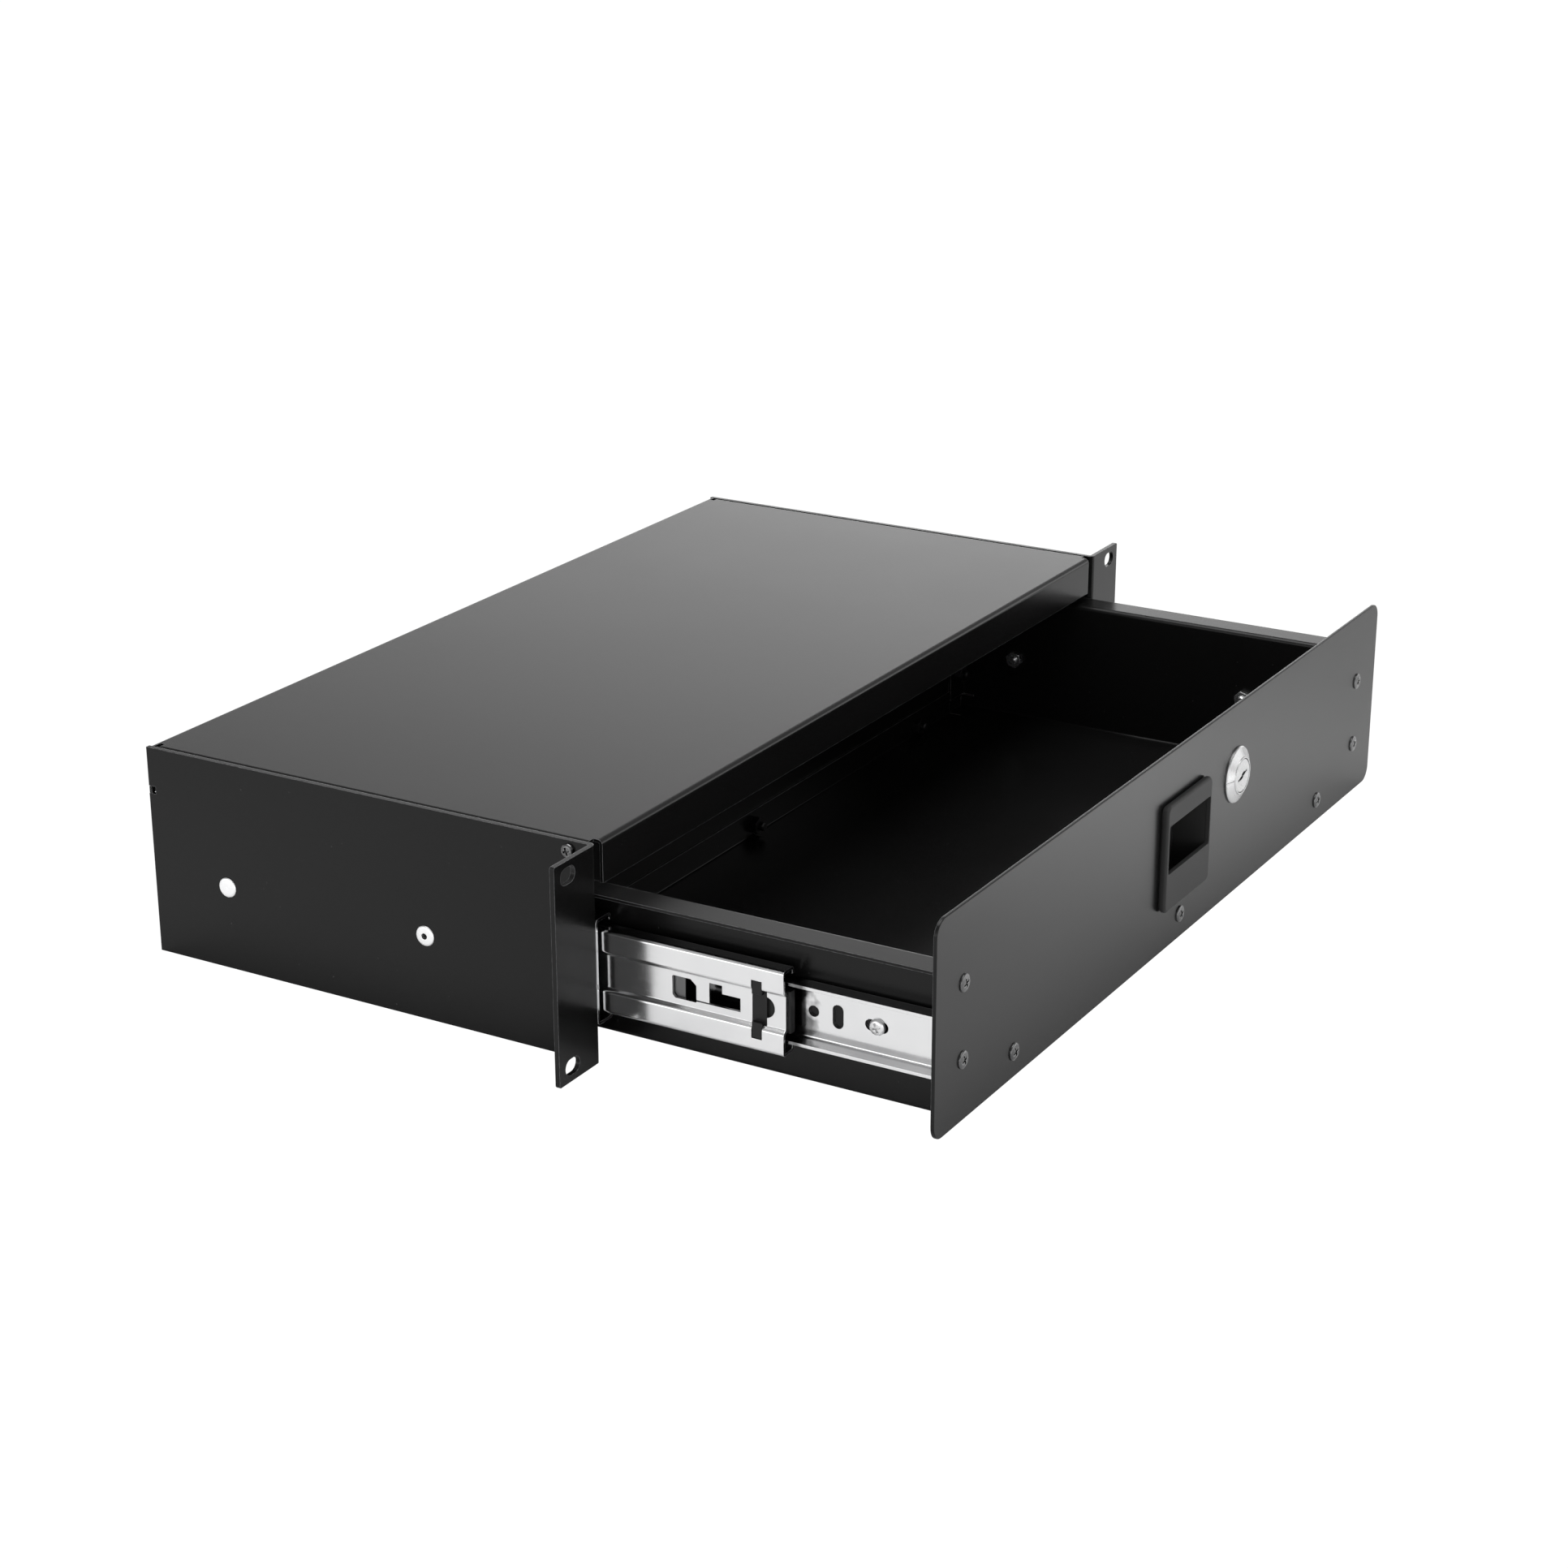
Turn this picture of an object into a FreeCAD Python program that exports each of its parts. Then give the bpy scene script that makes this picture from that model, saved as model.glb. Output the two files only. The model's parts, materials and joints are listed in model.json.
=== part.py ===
import FreeCAD, Part
import math
import os

from FreeCAD import Vector as V

# Sliding rack drawer, 2U high, for a 19-inch rack, drawn with its drawer part way out.
# Millimetres. +Z is up, the front faces -Y, +X is to the right seen from the front.
# Heights below are measured from the lower edge of the side panels, and y from a plane
# 0.9 behind the ears' front; save() then moves the origin to the middle of the four rack
# slots, on the front plane of the ears.

# ---------------------------------------------------------------- driving dimensions
SHEET = 2.0                 # side panels
CHASSIS_W = 431.4           # over the side panels
CHASSIS_D = 212.0           # rear edge of the chassis
FRONT = -0.9                # front plane of the ears and of the cover's lip
CHASSIS_H = 88.0
EAR_X = 241.3               # half of 482.6, the width over the ears
BEND = 0.8                  # inner bend radius
SLOT_X, SLOT_W, SLOT_H = 232.55, 9.6, 6.6
SLOT_Z = (5.95, 82.15)
LIP_Z = 71.0                # lower edge of the cover's front lip
REAR_LIP_Z = 68.5
CORNER_SCREW = (10.1, 83.9)  # y and height of the screws that hold the cover
LIP_X = 209.6               # half length of the front lip
REAR_LIP_X = 213.3
COVER_T = 1.2
COVER_GAP = 0.3

OPEN = 139.35               # how far the drawer stands out of the closed position
MIDDLE_OPEN = 79.4          # how far the middle slide members have followed
PANEL_X = (-214.85, 216.85)  # side edges; the panel hangs 1 mm off centre in its screw holes
PANEL_H, PANEL_T, PANEL_R = 85.4, 1.3, 6.5
PANEL_Z = 1.5               # lower edge of the front panel
PANEL_Y = -142.55           # its outer face
TRAY_T = 1.2
TRAY_X = 201.0              # outer face of the tray walls
TRAY_Z = 6.2                # under side of the tray floor
TRAY_TOP = 67.5             # upper face of the outward rim
RIM_X = 213.0               # outer edge of the rim
TRAY_LEN = 201.85
PANEL_SCREWS = [(-193.0, 56.15), (-193.2, 26.1), (194.0, 55.5), (194.0, 25.5),
                (-151.4, 12.2), (0.3, 12.2), (151.5, 12.0)]
WALL_SCREWS = [(-194.0, 55.4), (-194.0, 25.3), (194.0, 55.4), (194.0, 25.3),
               (-151.0, 11.8), (0.0, 11.8), (151.0, 11.8)]

SLIDE_Z = 35.8              # mid height of both slides
SLIDE_LEN = 200.0
OUT_LEN = 202.7             # the outer member is longer by its bent stop
OUT_H, MID_H, INN_H = 43.0, 34.0, 24.3
SLIDE_T = 1.2
WALL_X = CHASSIS_W / 2 - SHEET          # inner face of the side panels, 213.7
RIVETS_Y = (77.5, 174.5)
BALL_OUT_D, BALL_INN_D = 2.7, 3.0
CAGE_T = 0.5

LOCK_X, LOCK_Z = 54.6, 55.35
LOCK_D, LOCK_PROUD = 24.4, 2.9
BARREL_D, BARREL_FLAT, BARREL_LEN = 18.6, 15.8, 12.5
PLUG_D, PLUG_CORE_D = 14.6, 12.4
RUN = 0.1                   # radial play of the plug

PULL_W, PULL_H, PULL_PROUD = 44.6, 46.0, 3.0
PULL_Z = 20.1               # lower edge of the pull
ORIGIN_Z = (SLOT_Z[0] + SLOT_Z[1]) / 2.0

os.makedirs("parts", exist_ok=True)
MADE = []


# ---------------------------------------------------------------- helpers
def box(x0, x1, y0, y1, z0, z1):
    return Part.makeBox(x1 - x0, y1 - y0, z1 - z0, V(x0, y0, z0))


def cyl(r, h, base, axis):
    return Part.makeCylinder(r, h, base, axis)


def sheet(points, t, r_in, place, run):
    """A bent sheet: a polyline of its mid plane in 2-D with rounded bends, placed in
    space by place(a, b) and pushed along the vector run."""
    pts = [FreeCAD.Base.Vector2d(*p) for p in points]
    rad = r_in + t / 2.0
    left, right = [], []

    def off(p, d, side):
        return (p[0] - d[1] * side * t / 2.0, p[1] + d[0] * side * t / 2.0)

    def unit(a, b):
        dx, dy = b[0] - a[0], b[1] - a[1]
        n = math.hypot(dx, dy)
        return (dx / n, dy / n)

    raw = [tuple(p) for p in points]
    n = len(raw)
    for side, out in ((1, left), (-1, right)):
        d0 = unit(raw[0], raw[1])
        out.append(("p", off(raw[0], d0, side)))
        for i in range(1, n - 1):
            d1 = unit(raw[i - 1], raw[i])
            d2 = unit(raw[i], raw[i + 1])
            cross = d1[0] * d2[1] - d1[1] * d2[0]
            turn = math.atan2(cross, d1[0] * d2[0] + d1[1] * d2[1])
            tan = rad * math.tan(abs(turn) / 2.0)
            a = (raw[i][0] - d1[0] * tan, raw[i][1] - d1[1] * tan)
            b = (raw[i][0] + d2[0] * tan, raw[i][1] + d2[1] * tan)
            s = 1.0 if cross > 0 else -1.0
            c = (a[0] - d1[1] * s * rad, a[1] + d1[0] * s * rad)
            pa, pb = off(a, d1, side), off(b, d2, side)
            rr = math.hypot(pa[0] - c[0], pa[1] - c[1])
            mx, my = (pa[0] + pb[0]) / 2 - c[0], (pa[1] + pb[1]) / 2 - c[1]
            m = math.hypot(mx, my)
            pm = (c[0] + mx / m * rr, c[1] + my / m * rr)
            out.append(("a", pa, pm, pb))
        dl = unit(raw[-2], raw[-1])
        out.append(("p", off(raw[-1], dl, side)))

    def walk(items):
        """The chain's corner points and arcs as a list of edges, with its two ends."""
        edges, here = [], None
        for it in items:
            if it[0] == "p":
                if here is not None:
                    edges.append(Part.LineSegment(place(*here), place(*it[1])).toShape())
                here = it[1]
            else:
                if math.hypot(here[0] - it[1][0], here[1] - it[1][1]) > 1e-6:
                    edges.append(Part.LineSegment(place(*here), place(*it[1])).toShape())
                edges.append(Part.Arc(place(*it[1]), place(*it[2]), place(*it[3])).toShape())
                here = it[3]
        return edges

    e = walk(left)
    e.append(Part.LineSegment(place(*left[-1][1]), place(*right[-1][1])).toShape())
    e += walk(right)
    e.append(Part.LineSegment(place(*right[0][1]), place(*left[0][1])).toShape())
    wire = Part.Wire(Part.__sortEdges__(e))
    return Part.Face(wire).extrude(run)


def poly(points, place, run):
    w = Part.makePolygon([place(*p) for p in points] + [place(*points[0])])
    return Part.Face(w).extrude(run)


def rounded(x0, x1, z0, z1, r, y0, y1):
    """A plate in the XZ plane with four round corners."""
    b = box(x0, x1, y0, y1, z0, z1)
    es = [e for e in b.Edges if abs(e.BoundBox.YLength - (y1 - y0)) < 1e-6
          and e.BoundBox.XLength < 1e-6 and e.BoundBox.ZLength < 1e-6]
    return b.makeFillet(r, es)


def turned(profile, base, axis):
    """A solid of revolution: profile is a list of (radius, distance along axis)."""
    w = Part.makePolygon([V(r, 0, h) for r, h in profile] + [V(profile[0][0], 0, profile[0][1])])
    s = Part.Face(w).revolve(V(0, 0, 0), V(0, 0, 1), 360)
    s.Placement = FreeCAD.Placement(base, FreeCAD.Rotation(V(0, 0, 1), axis))
    return s


def pan_screw(base, axis, length, head_d=7.0, head_h=2.1, shank_d=3.9):
    """A cross-recessed pan head screw. base lies under the head, axis points out of it."""
    r, h = head_d / 2.0, head_h
    prof = [(0, -length), (shank_d / 2 - 0.5, -length), (shank_d / 2, -length + 0.5),
            (shank_d / 2, 0), (r, 0), (r, h * 0.35), (r * 0.95, h * 0.58), (r * 0.80, h * 0.82),
            (r * 0.55, h * 0.96), (0, h)]
    s = turned(prof, V(0, 0, 0), V(0, 0, 1))
    for ang in (0, 90):
        c = Part.makeBox(head_d * 0.58, 1.0, 1.4, V(-head_d * 0.29, -0.5, h - min(1.25, h - 0.2)))
        c.rotate(V(0, 0, 0), V(0, 0, 1), ang + 20)
        s = s.cut(c)
    s.Placement = FreeCAD.Placement(base, FreeCAD.Rotation(V(0, 0, 1), axis))
    return s


def hex_nut(base, axis, flats=7.0, high=3.2, hole=3.92, turn=0.0):
    """A hexagon nut that stands on base and grows along axis."""
    r = flats / math.sqrt(3.0)
    pts = [V(r * math.cos(math.radians(60 * k + turn)), r * math.sin(math.radians(60 * k + turn)), 0)
           for k in range(6)]
    n = Part.Face(Part.makePolygon(pts + [pts[0]])).extrude(V(0, 0, high))
    c = flats / 2.0
    cone = turned([(0, 0), (c + 0.25, 0), (r + 0.3, 0.55), (r + 0.3, high - 0.55),
                   (c + 0.25, high), (0, high)], V(0, 0, 0), V(0, 0, 1))
    n = n.common(cone).cut(Part.makeCylinder(hole / 2.0, high + 2, V(0, 0, -1)))
    n.Placement = FreeCAD.Placement(base, FreeCAD.Rotation(V(0, 0, 1), axis))
    return n


def slotted(x, z, w, h, y0, y1):
    """An obround along X through a plate that lies in the XZ plane."""
    r = h / 2.0
    s = box(x - w / 2 + r, x + w / 2 - r, y0, y1, z - r, z + r)
    for d in (-1, 1):
        s = s.fuse(cyl(r, y1 - y0, V(x + d * (w / 2 - r), y0, z), V(0, 1, 0)))
    return s.removeSplitter()


def only(shape):
    s = shape.removeSplitter()
    return s.Solids[0] if len(s.Solids) == 1 else s


def save(name, shapes):
    if not isinstance(shapes, (list, tuple)):
        shapes = [shapes]
    solids = []
    for s in shapes:
        solids += s.Solids
    out = solids[0] if len(solids) == 1 else Part.makeCompound(solids)
    out.translate(V(0, -FRONT, -ORIGIN_Z))
    out.exportStep("parts/%s.step" % name)
    MADE.append((name, len(solids), sum(q.Volume for q in solids), all(q.isValid() for q in solids)))


# ---------------------------------------------------------------- side panels with ears
def side_panel(side):
    s = -1 if side == "left" else 1
    mid = CHASSIS_W / 2 - SHEET / 2
    # plan section: the wall runs forward and turns outward into the ear
    wall = sheet([(s * mid, CHASSIS_D), (s * mid, FRONT + SHEET / 2), (s * EAR_X, FRONT + SHEET / 2)], SHEET, 0.4,
                 lambda a, b: V(a, b, 0), V(0, 0, CHASSIS_H))
    # the ear's outer corners are clipped a little
    for z0, z1 in ((0, 0.7), (CHASSIS_H, CHASSIS_H - 0.5)):
        tri = poly([(s * EAR_X, z0), (s * (EAR_X - 0.6), z0), (s * EAR_X, z1)],
                   lambda a, b: V(a, FRONT - 1, b), V(0, SHEET + 2, 0))
        wall = wall.cut(tri)
    for z in SLOT_Z:
        wall = wall.cut(slotted(s * SLOT_X, z, SLOT_W, SLOT_H, FRONT - 1, FRONT + SHEET + 1))
    for y in RIVETS_Y:
        wall = wall.cut(cyl(2.4, 6, V(s * (mid - 3), y, SLIDE_Z - 0.6), V(s, 0, 0)))
    wall = wall.cut(cyl(1.7, 6, V(s * (mid - 3), *CORNER_SCREW), V(s, 0, 0)))
    # notch in the rear edge that takes the cover's hook
    wall = wall.cut(box(*sorted((s * 213, s * 217)), 208.6, CHASSIS_D + 1, 68.4, 71.6))
    return only(wall)


# ---------------------------------------------------------------- top cover
def top_cover():
    top = CHASSIS_H - COVER_T / 2
    fx = WALL_X - COVER_GAP - COVER_T / 2
    y0, y1 = 3.0, CHASSIS_D - 4.6
    body = sheet([(-fx, 74.0), (-fx, top), (fx, top), (fx, 74.0)], COVER_T, 0.3,
                 lambda a, b: V(a, y0, b), V(0, y1 - y0, 0))
    # front lip, and a rear lip that runs out to the side panels
    front = sheet([(12.0, top), (FRONT + COVER_T / 2, top), (FRONT + COVER_T / 2, LIP_Z)], COVER_T, 0.8,
                  lambda a, b: V(-LIP_X, a, b), V(2 * LIP_X, 0, 0))
    ry = CHASSIS_D - COVER_T / 2
    rear = sheet([(CHASSIS_D - 12.0, top), (ry, top), (ry, REAR_LIP_Z)], COVER_T, 0.6,
                 lambda a, b: V(-LIP_X, a, b), V(2 * LIP_X, 0, 0))
    wide = sheet([(ry - 1.6, top), (ry, top), (ry, REAR_LIP_Z)], COVER_T, 0.6,
                 lambda a, b: V(-REAR_LIP_X, a, b), V(2 * REAR_LIP_X, 0, 0))
    body = body.cut(box(-LIP_X, LIP_X, -2, 12.0, 80, 90)).cut(
        box(-LIP_X, LIP_X, CHASSIS_D - 12.0, CHASSIS_D + 1, 80, 90))
    body = body.fuse([front, rear, wide])
    # hooks of the rear lip that sit in the notches of the side panels
    for s in (-1, 1):
        x0, x1 = sorted((s * (REAR_LIP_X - 1.0), s * (CHASSIS_W / 2 - 0.2)))
        body = body.fuse(box(x0, x1, CHASSIS_D - COVER_T, CHASSIS_D, REAR_LIP_Z, REAR_LIP_Z + 2.8))
        # threaded hole for the corner screw
        body = body.cut(cyl(1.46, 6, V(s * (fx - 3), *CORNER_SCREW), V(s, 0, 0)))
    return only(body)


def cover_screws():
    return [pan_screw(V(s * CHASSIS_W / 2, *CORNER_SCREW), V(s, 0, 0), 5.0, 5.7, 1.7, 2.9) for s in (-1, 1)]


# ---------------------------------------------------------------- ball bearing slides
def at(side, s, y, z):
    """A point of a slide: s counts from the side panel's inner face towards the drawer,
    z from the slide's mid height."""
    x = WALL_X - s
    return V(-x if side == "left" else x, y, SLIDE_Z + z)


def rail(side, points, t, r_in, y0, y1):
    return sheet(points, t, r_in, lambda a, b: at(side, a, y0, b), V(0, y1 - y0, 0))


def across(side, s0, s1, y, z, r):
    """A round bar through a slide, along X."""
    a, b = at(side, s0, y, z), at(side, s1, y, z)
    return cyl(r, abs(s1 - s0), a, (b - a).normalize())


def block(side, s0, s1, y0, y1, z0, z1):
    a, b = at(side, s0, y0, z0), at(side, s1, y1, z1)
    return box(min(a.x, b.x), max(a.x, b.x), y0, y1, a.z, b.z)


OUT_Y0 = 0.1
MID_Y0 = 0.6 - MIDDLE_OPEN                          # front end of the middle member
INN_Y0 = -0.1 - OPEN                                # front end of the inner member
CAGE_OUT = (17.0, 86.0)                             # front end, length
CAGE_INN = (-65.0, 112.0)
H1, H2, H3 = (OUT_H - SLIDE_T) / 2, (MID_H - SLIDE_T) / 2, (INN_H - SLIDE_T) / 2
RACE_OUT = (OUT_H / 2 - SLIDE_T + MID_H / 2) / 2    # height of the outer balls
RACE_INN = (MID_H / 2 - SLIDE_T + INN_H / 2) / 2


def slide_outer(side):
    m = SLIDE_T / 2
    r = rail(side, [(9.6, H1 - 2.3), (9.6, H1), (m, H1), (m, -H1), (9.6, -H1), (9.6, -H1 + 2.3)],
             SLIDE_T, 0.8, OUT_Y0, OUT_Y0 + OUT_LEN)
    for y in RIVETS_Y:
        r = r.cut(across(side, -2, 3, y, -0.6, 2.4))
    for y in (22.0, 125.0):
        r = r.cut(across(side, -2, 3, y, 0, 2.2))
    # bent stop at the rear end
    r = r.fuse(block(side, 0.6, 5.2, OUT_Y0 + OUT_LEN - 1.2, OUT_Y0 + OUT_LEN, -6, 6))
    return only(r)


def slide_middle(side):
    m = SLIDE_T / 2
    a, b = 2.6 + m, 4.4 + m
    r = rail(side, [(9.7, H2 - 2.4), (9.7, H2), (a, H2), (a, 8.2), (b, 6.9), (b, -6.9), (a, -8.2),
                    (a, -H2), (9.7, -H2), (9.7, -H2 + 2.4)], SLIDE_T, 0.4, MID_Y0, MID_Y0 + SLIDE_LEN)
    y = MID_Y0
    lo, hi = 31.5 - SLIDE_Z, 40.5 - SLIDE_Z
    sgn = -1 if side == "left" else 1

    def window(pts):
        return poly(pts, lambda p, q: V(sgn * (WALL_X - 1.0), p, SLIDE_Z + q), V(-sgn * 6.0, 0, 0))
    r = r.cut(window([(y + 38.1, lo), (y + 47.3, lo), (y + 48.5, lo + 1.3), (y + 48.5, hi - 0.5), (y + 48.0, hi),
                      (y + 40.6, hi), (y + 38.1, hi - 2.2)]))
    r = r.cut(window([(y + 19.2, lo + 0.5), (y + 32.5, lo + 0.5), (y + 32.5, hi + 0.3), (y + 27.0, hi + 0.3),
                      (y + 27.0, lo + 6.0), (y + 19.2, lo + 6.0)]))
    # slit between the windows
    r = r.cut(window([(y + 32.0, lo + 0.5), (y + 38.5, lo + 0.5), (y + 38.5, lo + 1.1), (y + 32.0, lo + 1.1)]))
    # slot that takes the bumper, wider in the recessed band, with a round bulge in front
    r = r.cut(window([(y + 9.1, -12.0), (y + 13.6, -12.0), (y + 13.6, 11.2), (y + 9.1, 11.2)]))
    r = r.cut(window([(y + 7.9, -6.8), (y + 14.1, -6.8), (y + 14.1, 6.8), (y + 7.9, 6.8)]))
    r = r.cut(across(side, 2, 7, y + 8.9, 0.7, 4.3))
    for dy in (95.0, 150.0):
        r = r.cut(across(side, 2, 7, y + dy, 0, 3.0))
    return only(r)


def middle_bumper(side):
    y = MID_Y0
    a = block(side, 5.8, 8.8, y - 1.2, y + 14.8, -8.3, 8.3)
    a = a.fuse(block(side, 4.7, 8.8, y + 8.05, y + 13.95, -6.65, 6.65))
    for z0, z1, z2 in ((5.6, 8.0, 11.0), (-8.0, -5.6, -11.8)):
        a = a.fuse(block(side, 2.95, 5.4, y + 9.25, y + 13.45, z0, z1))
        q = sorted((z2, (z0 + z1) / 2))
        a = a.fuse(block(side, 2.95, 3.9, y + 9.25, y + 13.45, q[0], q[1]))
    return only(a)


def slide_inner(side):
    m = SLIDE_T / 2
    r = rail(side, [(5.1, H3), (11.5 + m, H3), (11.5 + m, -H3), (5.1, -H3)], SLIDE_T, 0.8,
             INN_Y0, INN_Y0 + SLIDE_LEN)
    r = r.cut(across(side, 10, 14, -86.4, 0, 2.2)).cut(across(side, 10, 14, 31.6, 0, 2.2))
    for y, dy, dz in ((-96.5, 0, 2.45), (-112.4, 2.5, 0)):
        h = across(side, 10, 14, y - dy, -dz, 2.25).fuse(
            [across(side, 10, 14, y + dy, dz, 2.25),
             block(side, 10, 14, y - max(dy, 2.25 if dz else 0), y + max(dy, 2.25 if dz else 0),
                   -max(dz, 2.25 if dy else 0), max(dz, 2.25 if dy else 0))])
        r = r.cut(h)
    r = r.cut(across(side, 10, 14, -20.0, 0, 2.2))
    return only(r)


def cage(side, kind):
    """A thin retainer with a row of ball holes along its upper and lower edge."""
    y0, n = CAGE_OUT if kind == "outer" else CAGE_INN
    z = RACE_OUT if kind == "outer" else RACE_INN
    if kind == "outer":
        pts = [(7.6, z), (1.9, z), (1.9, -z), (7.6, -z)]
        s_ball, d = 5.4, BALL_OUT_D
    else:
        pts = [(9.0, z), (4.45, z), (4.45, 9.9), (6.3, 8.6), (6.3, -8.6), (4.45, -9.9), (4.45, -z), (9.0, -z)]
        s_ball, d = 7.2, BALL_INN_D
    c = rail(side, pts, CAGE_T, 0.3, y0, y0 + n)
    zz = 9.4 if kind == "inner" else z - 3.0
    # long windows leave two bridges
    for a, b in ((-1, 30), (45, n - 15)):
        c = c.cut(block(side, 1, 7.0 if kind == "inner" else 3, y0 + a, y0 + b, -zz, zz))
    balls = []
    for k in range(7):
        y = y0 + 6 + k * (n - 12) / 6.0
        for q in (-1, 1):
            c = c.cut(cyl(d / 2 + 0.12, 4, at(side, s_ball, y, q * z - 2), V(0, 0, 1)))
            b = Part.makeSphere(d / 2)
            b.translate(at(side, s_ball, y, q * z))
            balls.append(b)
    return only(c), balls


def rivets(side):
    """Blind rivets through side panel and outer member; the front one shows its bore."""
    out = []
    s = -1 if side == "left" else 1
    for k, y in enumerate(RIVETS_Y):
        r = 4.15
        prof = [(0, -SHEET - SLIDE_T), (2.4, -SHEET - SLIDE_T), (2.4, 0), (r, 0), (r, 0.25), (r * 0.93, 0.55),
                (r * 0.78, 0.75), (r * 0.5, 0.85), (0, 0.88)]
        v = turned(prof, V(s * CHASSIS_W / 2, y, SLIDE_Z - 0.6), V(s, 0, 0))
        if k == 0:
            v = v.cut(cyl(1.3, 8, V(s * (CHASSIS_W / 2 - 5), y, SLIDE_Z - 0.6), V(s, 0, 0)))
        out.append(v)
    return out


# the two rails are screwed through different holes
RAIL_SCREWS = {"left": (-112.9, 31.6), "right": (-86.4, 31.6)}


def rail_screws(side):
    s = -1 if side == "left" else 1
    web = TRAY_X + SLIDE_T
    return [pan_screw(V(s * web, y, SLIDE_Z), V(s, 0, 0), 6.4, 6.4, 1.8) for y in RAIL_SCREWS[side]]


def rail_nuts(side):
    s = -1 if side == "left" else 1
    return [hex_nut(V(s * (TRAY_X - TRAY_T), y, SLIDE_Z), V(-s, 0, 0), 7.0, 2.6, 3.92, 15)
            for y in RAIL_SCREWS[side]]


# ---------------------------------------------------------------- drawer
TRAY_Y0 = PANEL_Y + PANEL_T
TRAY_Y1 = TRAY_Y0 + TRAY_LEN


def drawer_tray():
    m = TRAY_T / 2
    x, z = TRAY_X - m, TRAY_Z + m
    t = sheet([(-RIM_X, TRAY_TOP - m), (-x, TRAY_TOP - m), (-x, z), (x, z), (x, TRAY_TOP - m),
               (RIM_X, TRAY_TOP - m)], TRAY_T, BEND, lambda a, b: V(a, TRAY_Y0, b), V(0, TRAY_LEN, 0))
    ends = []
    for y, d in ((TRAY_Y0, 1), (TRAY_Y1, -1)):
        ya, yb = y + d * m, y + d * 8.0
        c0, c1 = sorted((y - d * 1.0, yb))
        for s in (-1, 1):
            x0, x1 = sorted((s * (TRAY_X - TRAY_T - 1.5), s * (TRAY_X + 1.0)))
            t = t.cut(box(x0, x1, c0, c1, 13.0, 62.5))
            ends.append(sheet([(s * x, yb), (s * x, ya), (s * 186.5, ya)], TRAY_T, BEND,
                              lambda a, b: V(a, b, 13.6), V(0, 0, 48.3)))
            # short strips that carry the flange on the wall
            x0, x1 = sorted((s * (TRAY_X - TRAY_T), s * TRAY_X))
            ends.append(box(x0, x1, min(yb, yb - d * 1.0), max(yb, yb - d * 1.0), 13.0, 62.5))
        t = t.cut(box(-186.0, 186.0, c0, c1, TRAY_Z - 1, TRAY_Z + TRAY_T + 1.5))
        ends.append(sheet([(yb, z), (ya, z), (ya, 18.6)], TRAY_T, BEND,
                          lambda a, b: V(-185.4, a, b), V(370.8, 0, 0)))
        ends.append(box(-186.0, 186.0, min(yb, yb - d * 1.0), max(yb, yb - d * 1.0), TRAY_Z, TRAY_Z + TRAY_T))
    t = t.fuse(ends)
    for y, holes in ((TRAY_Y0, PANEL_SCREWS), (TRAY_Y1 - TRAY_T, WALL_SCREWS)):
        for px, pz in holes:
            t = t.cut(cyl(2.2, TRAY_T + 2, V(px, y - 1, pz), V(0, 1, 0)))
    for side in ("left", "right"):
        s = -1 if side == "left" else 1
        for y in RAIL_SCREWS[side]:
            t = t.cut(cyl(2.2, 4, V(s * (TRAY_X - TRAY_T - 1), y, SLIDE_Z), V(s, 0, 0)))
    return only(t)


def rear_wall():
    w = box(-TRAY_X, TRAY_X, TRAY_Y1, TRAY_Y1 + TRAY_T, TRAY_Z, 64.0)
    for px, pz in WALL_SCREWS:
        w = w.cut(cyl(2.2, TRAY_T + 2, V(px, TRAY_Y1 - 1, pz), V(0, 1, 0)))
    return only(w)


def front_panel():
    p = rounded(*PANEL_X, PANEL_Z, PANEL_Z + PANEL_H, PANEL_R, PANEL_Y, PANEL_Y + PANEL_T)
    es = []
    for e in p.Edges:
        if e.BoundBox.YLength < 1e-6 and abs(e.BoundBox.YMin - PANEL_Y) < 1e-6:
            es.append(e)
    p = p.makeFillet(0.5, es)
    for px, pz in PANEL_SCREWS:
        p = p.cut(cyl(2.2, PANEL_T + 2, V(px, PANEL_Y - 1, pz), V(0, 1, 0)))
    # pull cutout and the lock's double-flat hole
    w, z0, z1 = PULL_W / 2 - 0.7, PULL_Z + 2.8, PULL_Z + PULL_H - 3.0
    p = p.cut(box(-w, w, PANEL_Y - 1, PANEL_Y + PANEL_T + 1, z0, z1))
    hole = cyl(BARREL_D / 2 + 0.2, PANEL_T + 2, V(LOCK_X, PANEL_Y - 1, LOCK_Z), V(0, 1, 0))
    f = BARREL_FLAT / 2 + 0.2
    hole = hole.common(box(LOCK_X - 12, LOCK_X + 12, PANEL_Y - 2, PANEL_Y + 6, LOCK_Z - f, LOCK_Z + f))
    return only(p.cut(hole))


def panel_screws():
    return [pan_screw(V(px, PANEL_Y, pz), V(0, -1, 0), 8.0, 7.0, 1.1) for px, pz in PANEL_SCREWS]


def panel_nuts():
    return [hex_nut(V(px, TRAY_Y0 + TRAY_T, pz), V(0, 1, 0), turn=30 if abs(px) < 160 else 0)
            for px, pz in PANEL_SCREWS]


def wall_screws():
    return [pan_screw(V(px, TRAY_Y1 + TRAY_T, pz), V(0, 1, 0), 8.0, 7.0, 1.1) for px, pz in WALL_SCREWS]


def wall_nuts():
    return [hex_nut(V(px, TRAY_Y1 - TRAY_T, pz), V(0, -1, 0), turn=30 if abs(px) < 160 else 0)
            for px, pz in WALL_SCREWS]


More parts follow.
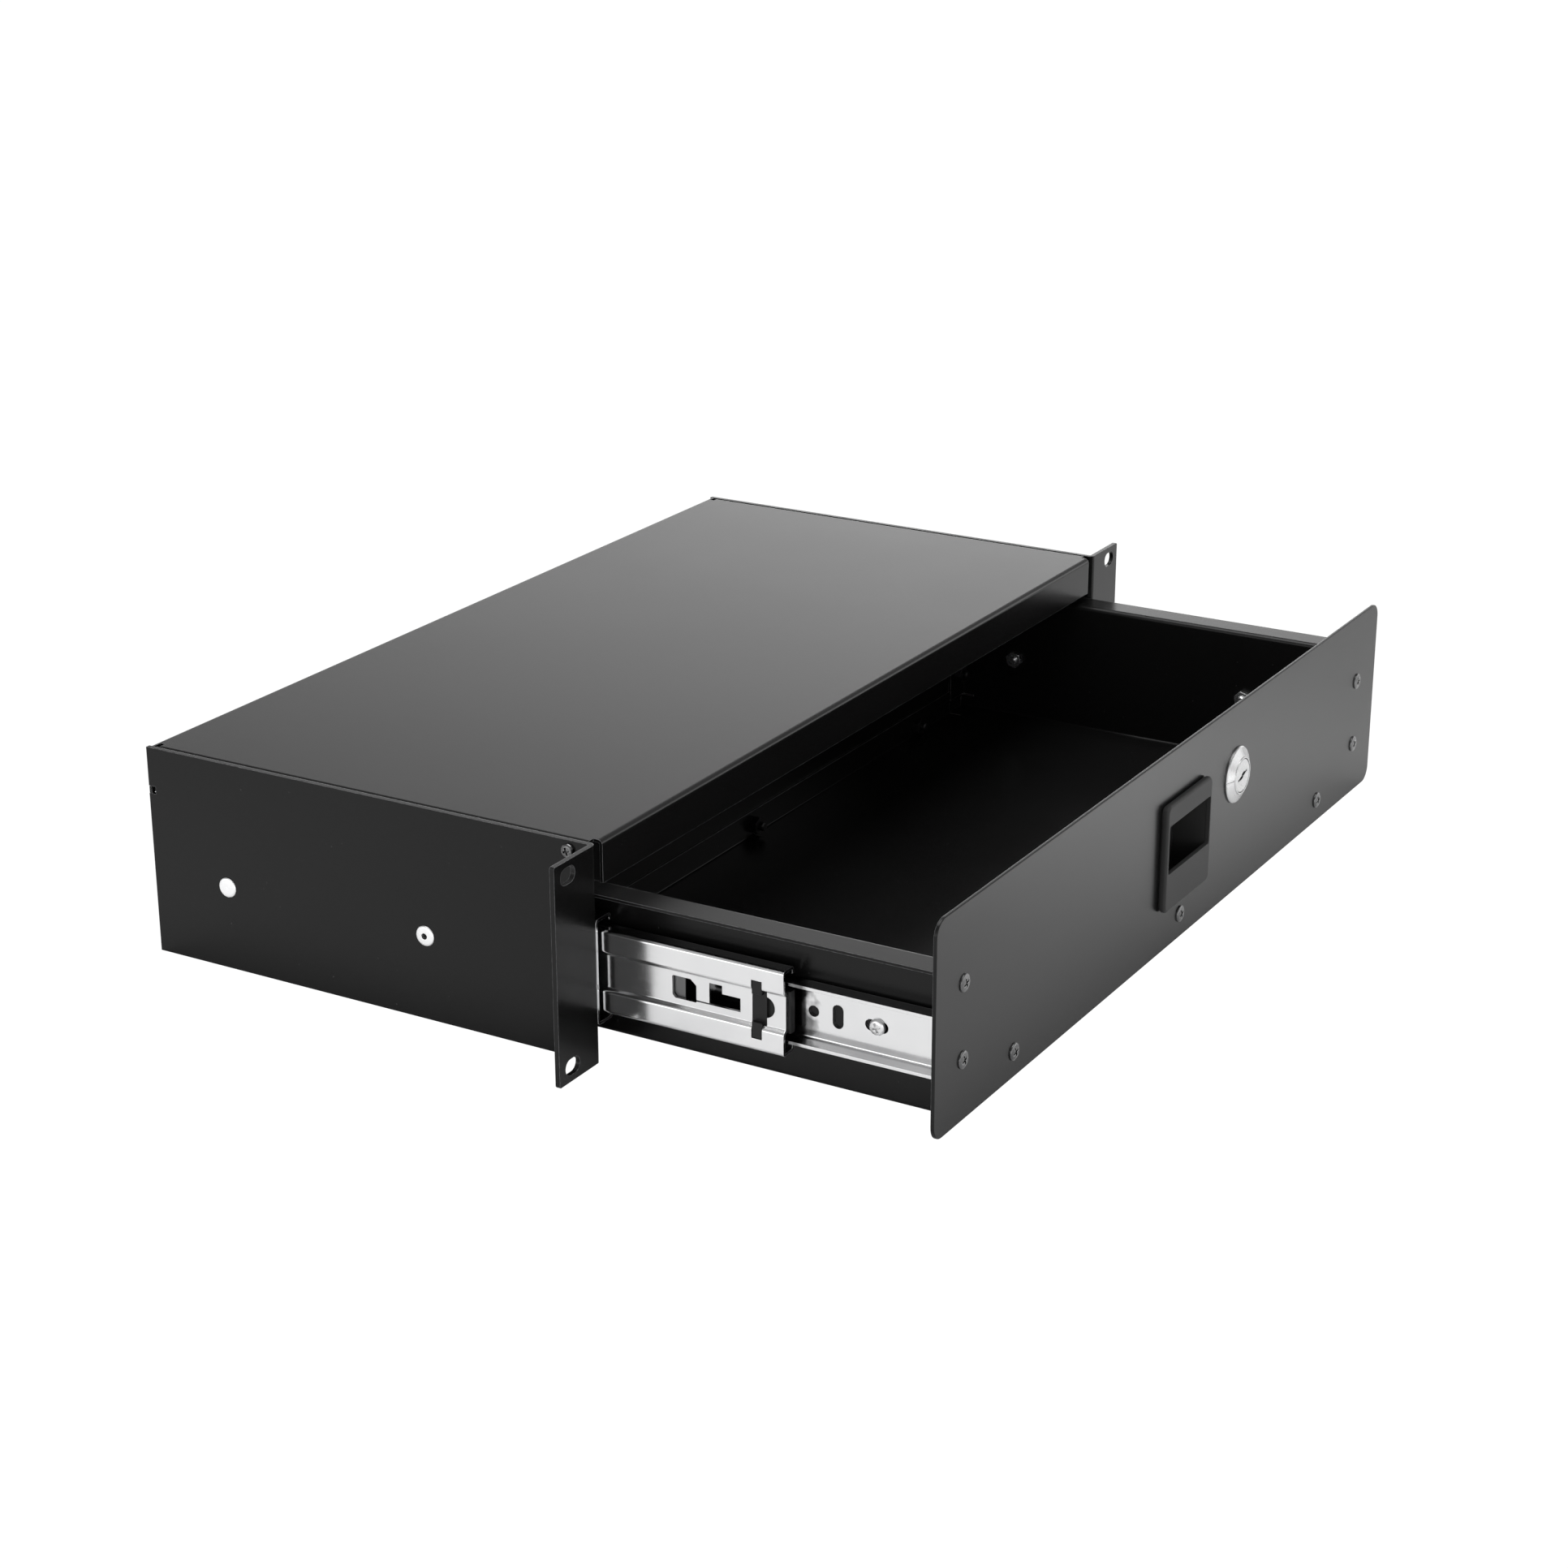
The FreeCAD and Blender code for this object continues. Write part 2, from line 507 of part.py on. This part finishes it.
# ---------------------------------------------------------------- recessed pull
def drawer_pull():
    w = PULL_W / 2
    z0, z1 = PULL_Z, PULL_Z + PULL_H
    yf = PANEL_Y - PULL_PROUD
    b = rounded(-w, w, z0, z1, 3.2, yf, PANEL_Y - 0.8)
    es = [e for e in b.Edges if e.BoundBox.YLength < 1e-6 and abs(e.BoundBox.YMin - yf) < 1e-6]
    b = b.makeFillet(1.2, es)
    b = b.fuse(rounded(-w + 0.6, w - 0.6, z0 + 0.6, z1 - 0.6, 2.6, PANEL_Y - 0.9, PANEL_Y))
    # pocket body behind the panel
    c0, c1 = z0 + 3.1, z1 - 3.3
    b = b.fuse(box(-w + 0.8, w - 0.8, PANEL_Y - 0.1, PANEL_Y + 14.4, c0, c1))
    b = b.cut(box(-w + 1.7, w - 1.7, yf + 1.8, PANEL_Y + 13.2, c0 + 0.9, c1 - 0.9))
    b = b.cut(rounded(-20.3, 20.5, 36.8, 57.6, 1.0, yf - 1, yf + 2.2))
    # snap ramps that catch behind the panel
    for x in (-12.0, 12.0):
        for z, d in ((c1, 1), (c0, -1)):
            b = b.fuse(poly([(PANEL_Y + PANEL_T + 0.1, z - d * 0.2), (PANEL_Y + PANEL_T + 0.1, z + d * 1.1),
                             (PANEL_Y + PANEL_T + 3.4, z - d * 0.2)],
                            lambda a, q: V(x - 4.0, a, q), V(8.0, 0, 0)))
    return only(b)


# ---------------------------------------------------------------- cam lock
def lock_body():
    r = LOCK_D / 2
    yf = PANEL_Y - LOCK_PROUD
    ring = turned([(0, 0), (r, 0), (r, 0.6), (r - 0.4, 1.0), (8.1, 2.55), (7.95, LOCK_PROUD),
                   (0, LOCK_PROUD)], V(LOCK_X, PANEL_Y, LOCK_Z), V(0, -1, 0))
    barrel = cyl(BARREL_D / 2, BARREL_LEN, V(LOCK_X, PANEL_Y, LOCK_Z), V(0, 1, 0))
    f = BARREL_FLAT / 2
    barrel = barrel.common(box(LOCK_X - 12, LOCK_X + 12, PANEL_Y - 1, PANEL_Y + 20, LOCK_Z - f, LOCK_Z + f))
    b = ring.fuse(barrel)
    b = b.cut(cyl(PLUG_D / 2 + RUN, 3.4, V(LOCK_X, yf - 0.1, LOCK_Z), V(0, 1, 0)))
    b = b.cut(cyl(PLUG_CORE_D / 2 + RUN, 30, V(LOCK_X, yf, LOCK_Z), V(0, 1, 0)))
    # witness mark: a shallow groove down the cone at the plug's left
    b = b.cut(poly([(-12.6, -0.5), (-11.8, -0.72), (-8.4, -2.14), (-8.4, -3.6), (-12.6, -3.6)],
                   lambda a, q: V(LOCK_X + a, PANEL_Y + q, LOCK_Z - 0.35), V(0, 0, 0.7)))
    return only(b)


PLUG_END = PANEL_Y + BARREL_LEN + 0.5
CAM_T = 2.0


def lock_plug():
    yf = PANEL_Y - LOCK_PROUD + 0.1
    p = cyl(PLUG_D / 2, 2.9, V(LOCK_X, yf, LOCK_Z), V(0, 1, 0))
    es = [e for e in p.Edges if e.BoundBox.YLength < 1e-6 and abs(e.BoundBox.YMin - yf) < 1e-6]
    p = p.makeChamfer(0.35, es)
    p = p.fuse(cyl(PLUG_CORE_D / 2, PLUG_END - yf - 2.9, V(LOCK_X, yf + 2.9, LOCK_Z), V(0, 1, 0)))
    # square end that drives the cam
    p = p.fuse(box(LOCK_X - 3.5, LOCK_X + 3.5, PLUG_END - 0.1, PLUG_END + CAM_T, LOCK_Z - 3.5, LOCK_Z + 3.5))
    p = p.cut(cyl(1.96, 8.0, V(LOCK_X, PLUG_END + CAM_T - 7.0, LOCK_Z), V(0, 1, 0)))
    # stepped keyway, tipped a little
    ck, sk = math.cos(math.radians(17)), math.sin(math.radians(17))
    key = poly([(-4.6, -0.5), (-2.6, -0.5), (-2.6, -1.15), (0.6, -1.15), (0.6, -0.5), (4.6, -0.5), (4.6, 0.45),
                (2.2, 0.45), (2.2, 1.1), (-0.6, 1.1), (-0.6, 0.45), (-4.6, 0.45)],
               lambda a, b: V(LOCK_X + a * ck - b * sk, yf - 0.5, LOCK_Z + a * sk + b * ck), V(0, 7.5, 0))
    return only(p.cut(key))


def lock_cam():
    y = PLUG_END + CAM_T / 2
    c = sheet([(-7.5, y), (12.0, y), (15.8, y - 6.6), (26.0, y - 6.6)], CAM_T, 0.6,
              lambda a, b: V(LOCK_X + a, b, LOCK_Z - 6.0), V(0, 0, 12.0))
    c = c.cut(box(LOCK_X - 3.55, LOCK_X + 3.55, y - 3, y + 3, LOCK_Z - 3.55, LOCK_Z + 3.55))
    es = [e for e in c.Edges if abs(e.BoundBox.YLength - CAM_T) < 1e-6 and e.BoundBox.ZLength < 1e-6
          and e.BoundBox.XLength < 1e-6 and abs(e.BoundBox.XMin - LOCK_X) > 7.0]
    return only(c.makeFillet(2.0, es))


def lock_cam_screw():
    washer_y = PLUG_END + CAM_T
    return pan_screw(V(LOCK_X, washer_y, LOCK_Z), V(0, 1, 0), 6.0, 9.0, 2.4)


def lock_nut():
    return hex_nut(V(LOCK_X, PANEL_Y + PANEL_T, LOCK_Z), V(0, 1, 0), 24.0, 3.4, BARREL_D + 0.1, 30)


# ---------------------------------------------------------------- export
save("side_panel_left", side_panel("left"))
save("side_panel_right", side_panel("right"))
save("top_cover", top_cover())
save("cover_screws", cover_screws())
for side in ("left", "right"):
    save("slide_outer_" + side, slide_outer(side))
    save("slide_rivets_" + side, rivets(side))
    save("slide_middle_" + side, slide_middle(side))
    save("middle_bumper_" + side, middle_bumper(side))
    save("slide_inner_" + side, slide_inner(side))
    save("rail_screws_" + side, rail_screws(side))
    save("rail_nuts_" + side, rail_nuts(side))
    for kind in ("outer", "inner"):
        c, balls = cage(side, kind)
        save("ball_cage_%s_%s" % (kind, side), c)
        save("balls_%s_%s" % (kind, side), balls)
save("drawer_tray", drawer_tray())
save("rear_wall", rear_wall())
save("rear_wall_screws", wall_screws())
save("rear_wall_nuts", wall_nuts())
save("front_panel", front_panel())
save("front_panel_screws", panel_screws())
save("front_panel_nuts", panel_nuts())
save("drawer_pull", drawer_pull())
save("lock_body", lock_body())
save("lock_nut", lock_nut())
save("lock_plug", lock_plug())
save("lock_cam", lock_cam())
save("lock_cam_screw", lock_cam_screw())

for row in MADE:
    print("%-26s solids %2d  volume %10.1f mm3  valid %s" % row)
print(len(MADE), "nodes")
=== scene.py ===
import bpy
import json
import math
from mathutils import Matrix, Vector


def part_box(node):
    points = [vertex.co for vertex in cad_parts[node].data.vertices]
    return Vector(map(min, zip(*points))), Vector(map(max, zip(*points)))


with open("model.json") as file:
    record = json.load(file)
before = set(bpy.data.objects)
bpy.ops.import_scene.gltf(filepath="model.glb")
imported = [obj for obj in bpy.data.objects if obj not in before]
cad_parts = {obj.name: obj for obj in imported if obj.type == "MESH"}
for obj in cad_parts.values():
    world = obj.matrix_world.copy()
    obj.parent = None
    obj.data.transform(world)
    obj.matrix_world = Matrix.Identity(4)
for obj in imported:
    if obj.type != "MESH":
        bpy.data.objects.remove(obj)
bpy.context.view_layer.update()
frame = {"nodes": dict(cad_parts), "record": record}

nodes = frame["nodes"]
FLOOR_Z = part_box("side_panel_left")[0][2]


# ------------------------------------------------------------------ camera
def make_camera():
    yaw, pitch, roll = math.radians(59.5400), math.radians(20.8640), math.radians(-0.1440)
    fwd = Vector((math.sin(yaw) * math.cos(pitch), math.cos(yaw) * math.cos(pitch), -math.sin(pitch)))
    right = fwd.cross(Vector((0, 0, 1))).normalized()
    up = right.cross(fwd).normalized()
    r2 = right * math.cos(roll) + up * math.sin(roll)
    u2 = -right * math.sin(roll) + up * math.cos(roll)
    cam = bpy.data.cameras.new("camera")
    cam.sensor_width = 36.0
    cam.lens = 72.9445
    cam.shift_x = 0.00526
    cam.shift_y = 0.01160
    cam.clip_start, cam.clip_end = 0.02, 60.0
    o = bpy.data.objects.new("camera", cam)
    bpy.context.collection.objects.link(o)
    m = Matrix((r2, u2, -fwd)).transposed().to_4x4()
    m.translation = Vector((-1.113654, -0.605756, 0.472856))
    o.matrix_world = m
    bpy.context.scene.camera = o
    return o


make_camera()
sc = bpy.context.scene
sc.view_settings.view_transform = "Standard"
sc.view_settings.look = "None"
sc.view_settings.exposure = 0.0


# ------------------------------------------------------------------ node helpers
class Mat:
    """A small builder for one node material."""

    def __init__(self, name):
        self.m = bpy.data.materials.new(name)
        self.m.use_nodes = True
        self.t = self.m.node_tree
        self.t.nodes.clear()
        self.out = self.add("ShaderNodeOutputMaterial")
        self.b = self.add("ShaderNodeBsdfPrincipled")
        self.t.links.new(self.b.outputs[0], self.out.inputs[0])
        self.tc = self.add("ShaderNodeTexCoord")

    def add(self, kind, **props):
        n = self.t.nodes.new(kind)
        for k, v in props.items():
            setattr(n, k, v)
        return n

    def link(self, a, b):
        self.t.links.new(a, b)

    def set(self, **kw):
        for k, v in kw.items():
            self.b.inputs[k.replace("_", " ")].default_value = v

    def noise(self, scale, detail=3.0, rough=0.5, stretch=None, dist=0.0):
        n = self.add("ShaderNodeTexNoise")
        n.inputs["Scale"].default_value = scale
        n.inputs["Detail"].default_value = detail
        n.inputs["Roughness"].default_value = rough
        n.inputs["Distortion"].default_value = dist
        if stretch:
            mp = self.add("ShaderNodeMapping")
            mp.inputs["Scale"].default_value = stretch
            self.link(self.tc.outputs["Object"], mp.inputs["Vector"])
            self.link(mp.outputs[0], n.inputs["Vector"])
        else:
            self.link(self.tc.outputs["Object"], n.inputs["Vector"])
        return n.outputs["Fac"]

    def ramp(self, fac, stops):
        r = self.add("ShaderNodeValToRGB")
        el = r.color_ramp.elements
        while len(el) < len(stops):
            el.new(0.5)
        for e, (p, c) in zip(el, stops):
            e.position = p
            e.color = (c, c, c, 1) if not isinstance(c, tuple) else (*c, 1)
        self.link(fac, r.inputs["Fac"])
        return r.outputs["Color"]

    def range(self, fac, lo, hi, a=0.0, b=1.0):
        r = self.add("ShaderNodeMapRange")
        r.inputs["From Min"].default_value = a
        r.inputs["From Max"].default_value = b
        r.inputs["To Min"].default_value = lo
        r.inputs["To Max"].default_value = hi
        self.link(fac, r.inputs["Value"])
        return r.outputs["Result"]

    def mix(self, fac, a, b):
        x = self.add("ShaderNodeMix", data_type="RGBA")
        self.link(fac, x.inputs[0])
        for sock, v in ((x.inputs[6], a), (x.inputs[7], b)):
            if isinstance(v, tuple):
                sock.default_value = (*v, 1)
            else:
                self.link(v, sock)
        return x.outputs[2]

    def math(self, op, a, b):
        x = self.add("ShaderNodeMath", operation=op)
        for sock, v in zip(x.inputs, (a, b)):
            if isinstance(v, (int, float)):
                sock.default_value = v
            else:
                self.link(v, sock)
        return x.outputs[0]

    def edges(self, radius, lo, hi):
        """A mask that is 1 along sharp edges: where the rounded normal leaves the flat one."""
        bv = self.add("ShaderNodeBevel")
        bv.samples = 6
        bv.inputs["Radius"].default_value = radius
        g = self.add("ShaderNodeNewGeometry")
        d = self.add("ShaderNodeVectorMath", operation="DOT_PRODUCT")
        self.link(bv.outputs[0], d.inputs[0])
        self.link(g.outputs["Normal"], d.inputs[1])
        return self.range(self.math("SUBTRACT", 1.0, d.outputs["Value"]), 0.0, 1.0, lo, hi)

    def bumps(self, layers, edge=0.0):
        """Stacked bumps: (height socket, distance in metres, strength). edge rounds sharp edges."""
        last = None
        if edge:
            bv = self.add("ShaderNodeBevel")
            bv.samples = 4
            bv.inputs["Radius"].default_value = edge
            last = bv.outputs[0]
        for h, dist, strength in layers:
            b = self.add("ShaderNodeBump")
            b.inputs["Distance"].default_value = dist
            b.inputs["Strength"].default_value = strength
            self.link(h, b.inputs["Height"])
            if last is not None:
                self.link(last, b.inputs["Normal"])
            last = b.outputs[0]
        self.link(last, self.b.inputs["Normal"])


def powder_coat(name, base=0.0042, rough=0.25, spec=0.20, edge=0.0004):
    m = Mat(name)
    fine = m.noise(1500.0, 2.0, 0.5)
    peel = m.noise(260.0, 2.0, 0.5)
    cloud = m.noise(14.0, 3.0, 0.55)
    dust = m.noise(620.0, 1.0, 0.4)
    spots = m.ramp(dust, [(0.0, 0.0), (0.80, 0.0), (0.82, 1.0)])
    # sharp edges lightened and broken up by chips: partly real edge wear, partly a painted highlight along the
    # edges
    wear_and_highlight = m.edges(0.0004, 0.05, 0.26)
    chips = m.range(m.noise(900.0, 3.0, 0.6), 0.3, 1.0, 0.35, 0.65)
    wear_and_highlight = m.math("MULTIPLY", wear_and_highlight, chips)
    lo, hi = (base * 0.82,) * 3, (base * 1.18,) * 3
    col = m.mix(cloud, lo, hi)
    col = m.mix(spots, col, (0.03, 0.03, 0.03))
    col = m.mix(wear_and_highlight, col, (0.25, 0.253, 0.26))
    m.link(col, m.b.inputs["Base Color"])
    r = m.math("ADD", m.range(cloud, rough - 0.015, rough + 0.015, 0.3, 0.7), m.range(fine, -0.02, 0.02))
    m.link(r, m.b.inputs["Roughness"])
    m.set(Specular_IOR_Level=spec)
    m.bumps([(peel, 0.00006, 0.22), (fine, 0.00002, 0.35)], edge)
    return m.m


def zinc(name, col=0.70, rough=0.13, streak=(1.0, 0.02, 1.0), edge=0.0003, shade_start_y=None, cut_and_glint_col=None):
    m = Mat(name)
    lines = m.noise(900.0, 2.0, 0.6, stretch=streak)
    cloud = m.noise(40.0, 3.0, 0.6)
    c = m.mix(cloud, (col * 0.90, col * 0.905, col * 0.92), (min(1, col * 1.06),) * 3)
    # painted highlight: sharp edges are lightened, partly as bare cut metal and partly as an edge glint
    cut_and_glint = m.edges(0.00035, 0.05, 0.22)
    c = m.mix(cut_and_glint, c, (cut_and_glint_col or min(1, col * 1.3),) * 3)
    if shade_start_y is not None:
        # painted shade: a dark tint for the shade in the narrow gap behind the middle member, with a ragged end
        # at the given y
        sep = m.add("ShaderNodeSeparateXYZ")
        m.link(m.tc.outputs["Object"], sep.inputs[0])
        ragged = m.range(m.noise(200.0, 2.0, 0.5), -0.003, 0.003, 0.3, 0.7)
        y = m.math("ADD", sep.outputs["Y"], ragged)
        painted_shade = m.range(y, 0.0, 0.80, shade_start_y, shade_start_y + 0.0045)
        painted_shade = m.math("MULTIPLY", painted_shade, m.range(m.noise(70.0, 2.0, 0.5), 0.75, 1.25, 0.3, 0.7))
        c = m.mix(painted_shade, c, (0.045, 0.045, 0.045))
    m.link(c, m.b.inputs["Base Color"])
    r = m.math("ADD", m.range(cloud, rough - 0.03, rough + 0.05, 0.3, 0.7), m.range(lines, -0.03, 0.04))
    r = m.math("ADD", r, m.range(cut_and_glint, 0.0, 0.25))
    m.link(r, m.b.inputs["Roughness"])
    m.set(Metallic=1.0)
    m.bumps([(lines, 0.000015, 0.4), (cloud, 0.0001, 0.12)], edge)
    return m.m


def plastic(name, base=0.006, rough=0.42, spec=0.25, edge=0.0003):
    m = Mat(name)
    grain = m.noise(1900.0, 3.0, 0.6)
    cloud = m.noise(60.0, 2.0, 0.5)
    c = m.mix(cloud, (base * 0.85,) * 3, (base * 1.2,) * 3)
    m.link(c, m.b.inputs["Base Color"])
    r = m.math("ADD", m.range(grain, rough - 0.05, rough + 0.06), m.range(cloud, -0.02, 0.02))
    m.link(r, m.b.inputs["Roughness"])
    m.set(Specular_IOR_Level=spec)
    m.bumps([(grain, 0.00003, 0.5)], edge)
    return m.m


MATS = {
    "powder_coat": powder_coat("powder_coat_black"),
    "zinc_rail": zinc("zinc_rail_bright"),
    "rivet_alloy": zinc("rivet_alloy_bright", 0.86, 0.34, (1, 1, 1)),
    "cage_steel": zinc("cage_steel_oiled", 0.14, 0.3),
    "ball_steel": zinc("ball_steel_polished", 0.75, 0.06, (1, 1, 1)),
    "black_plastic": plastic("plastic_black"),
    # the light edge colour on these dark heads paints glints around the recess
    "black_screw": zinc("screw_dark_nickel", 0.11, 0.22, (1, 1, 1), cut_and_glint_col=0.55),
    "zinc_fastener": zinc("zinc_fastener_bright", 0.66, 0.25, (1, 1, 1)),
    "lock_chrome": zinc("lock_chrome_satin", 0.40, 0.24, (1, 1, 1)),
}
SLOT_OF = {s["node"]: s["material_slot"] for s in frame["record"]["subparts"]}


def dress(name, mat):
    me = nodes[name].data
    if not me.materials:
        me.materials.append(mat)
    for i in range(len(me.materials)):
        me.materials[i] = mat


for n in nodes:
    dress(n, MATS[SLOT_OF[n]])
dress("drawer_pull", plastic("plastic_pull", 0.027, 0.45, 0.07))
# painted shade on the inner rails where they run in the narrow gap behind the middle member
gap_shaded_rail = zinc("zinc_rail_painted_shade", shade_start_y=-0.0864)
for n in ("slide_inner_left", "slide_inner_right"):
    dress(n, gap_shaded_rail)
dull = zinc("nut_dull_black", 0.05, 0.42, (1, 1, 1))
for n in ("rear_wall_nuts", "front_panel_nuts", "rear_wall_screws"):
    dress(n, dull)


# ------------------------------------------------------------------ stage
def make_stage():
    def plane(name, z, mat):
        s = 14.0
        me = bpy.data.meshes.new(name)
        me.from_pydata([(-s, -s, z), (s, -s, z), (s, s, z), (-s, s, z)], [], [(0, 1, 2, 3)])
        me.materials.append(mat)
        o = bpy.data.objects.new(name, me)
        bpy.context.collection.objects.link(o)
        return o

    # the floor that lights and reflects in the object
    m = Mat("floor_pale")
    n = m.noise(3.0, 2.0)
    m.link(m.mix(n, (0.78, 0.78, 0.78), (0.82, 0.82, 0.82)), m.b.inputs["Base Color"])
    m.set(Roughness=0.9, Specular_IOR_Level=0.0)
    o = plane("floor", FLOOR_Z - 0.0002, m.m)
    o.visible_camera = False

    # the overexposed white of a product photograph, under it
    m = Mat("backdrop_white")
    n = m.noise(2.0, 1.0)
    m.link(m.mix(n, (0.0, 0.0, 0.0), (0.02, 0.02, 0.02)), m.b.inputs["Base Color"])
    m.set(Roughness=1.0, Specular_IOR_Level=0.0, Emission_Color=(1, 1, 1, 1), Emission_Strength=1.02)
    # one-sided, so that the underside can be looked at too
    m.link(m.math("SUBTRACT", 1.0, m.add("ShaderNodeNewGeometry").outputs["Backfacing"]), m.b.inputs["Alpha"])
    o = plane("backdrop", FLOOR_Z - 0.0006, m.m)
    o.visible_diffuse = o.visible_glossy = o.visible_transmission = False
    o.visible_volume_scatter = o.visible_shadow = False

    w = bpy.data.worlds.new("world")
    w.use_nodes = True
    t = w.node_tree
    bg = t.nodes["Background"]
    tc = t.nodes.new("ShaderNodeTexCoord")
    sep = t.nodes.new("ShaderNodeSeparateXYZ")
    r = t.nodes.new("ShaderNodeValToRGB")
    t.links.new(tc.outputs["Generated"], sep.inputs[0])
    t.links.new(sep.outputs["Z"], r.inputs["Fac"])
    side = t.nodes.new("ShaderNodeMapRange")
    side.inputs["From Min"].default_value = -1.0
    side.inputs["From Max"].default_value = 1.0
    t.links.new(sep.outputs["Y"], side.inputs["Value"])
    rs = t.nodes.new("ShaderNodeValToRGB")
    t.links.new(side.outputs["Result"], rs.inputs["Fac"])
    mul = t.nodes.new("ShaderNodeMix")
    mul.data_type = "RGBA"
    mul.blend_type = "MULTIPLY"
    mul.inputs[0].default_value = 1.0
    t.links.new(r.outputs["Color"], mul.inputs[6])
    t.links.new(rs.outputs["Color"], mul.inputs[7])
    t.links.new(mul.outputs[2], bg.inputs[0])
    # the room is a little brighter to the right behind the object than straight behind it
    el = rs.color_ramp.elements
    stops = [(0.0, 0.8), (0.60, 0.8), (0.71, 1.0), (0.76, 0.80), (0.83, 0.46), (1.0, 0.46)]
    while len(el) < len(stops):
        el.new(0.5)
    for e, (p, c) in zip(el, stops):
        e.position = p
        e.color = (c, c, c, 1)
    el = r.color_ramp.elements
    stops = [(0.0, 1.0), (0.21, 0.98), (0.30, 0.42), (0.40, 0.24), (1.0, 0.16)]
    while len(el) < len(stops):
        el.new(0.5)
    for e, (p, c) in zip(el, stops):
        e.position = p
        e.color = (c, c, c, 1)
    bg.inputs[1].default_value = 3.1
    bpy.context.scene.world = w

    def light(kind, name, loc, aim, power, **kw):
        l = bpy.data.lights.new(name, kind)
        l.energy = power
        for k, v in kw.items():
            setattr(l, k, v)
        lo = bpy.data.objects.new(name, l)
        bpy.context.collection.objects.link(lo)
        lo.location = loc
        lo.rotation_mode = "QUATERNION"
        lo.rotation_quaternion = (Vector(aim) - Vector(loc)).to_track_quat("-Z", "Y")
        lo.visible_camera = False
        return lo

    light("AREA", "overhead", (-0.05, 0.0, 1.6), (-0.05, 0.0, 0), 29.0, shape="RECTANGLE", size=1.3, size_y=1.3)
    light("SPOT", "front_pool", (0.15, -0.50, 0.60), (0.15, -0.42, -0.04), 36.0,
          spot_size=math.radians(46), spot_blend=1.0, shadow_soft_size=0.08)


make_stage()
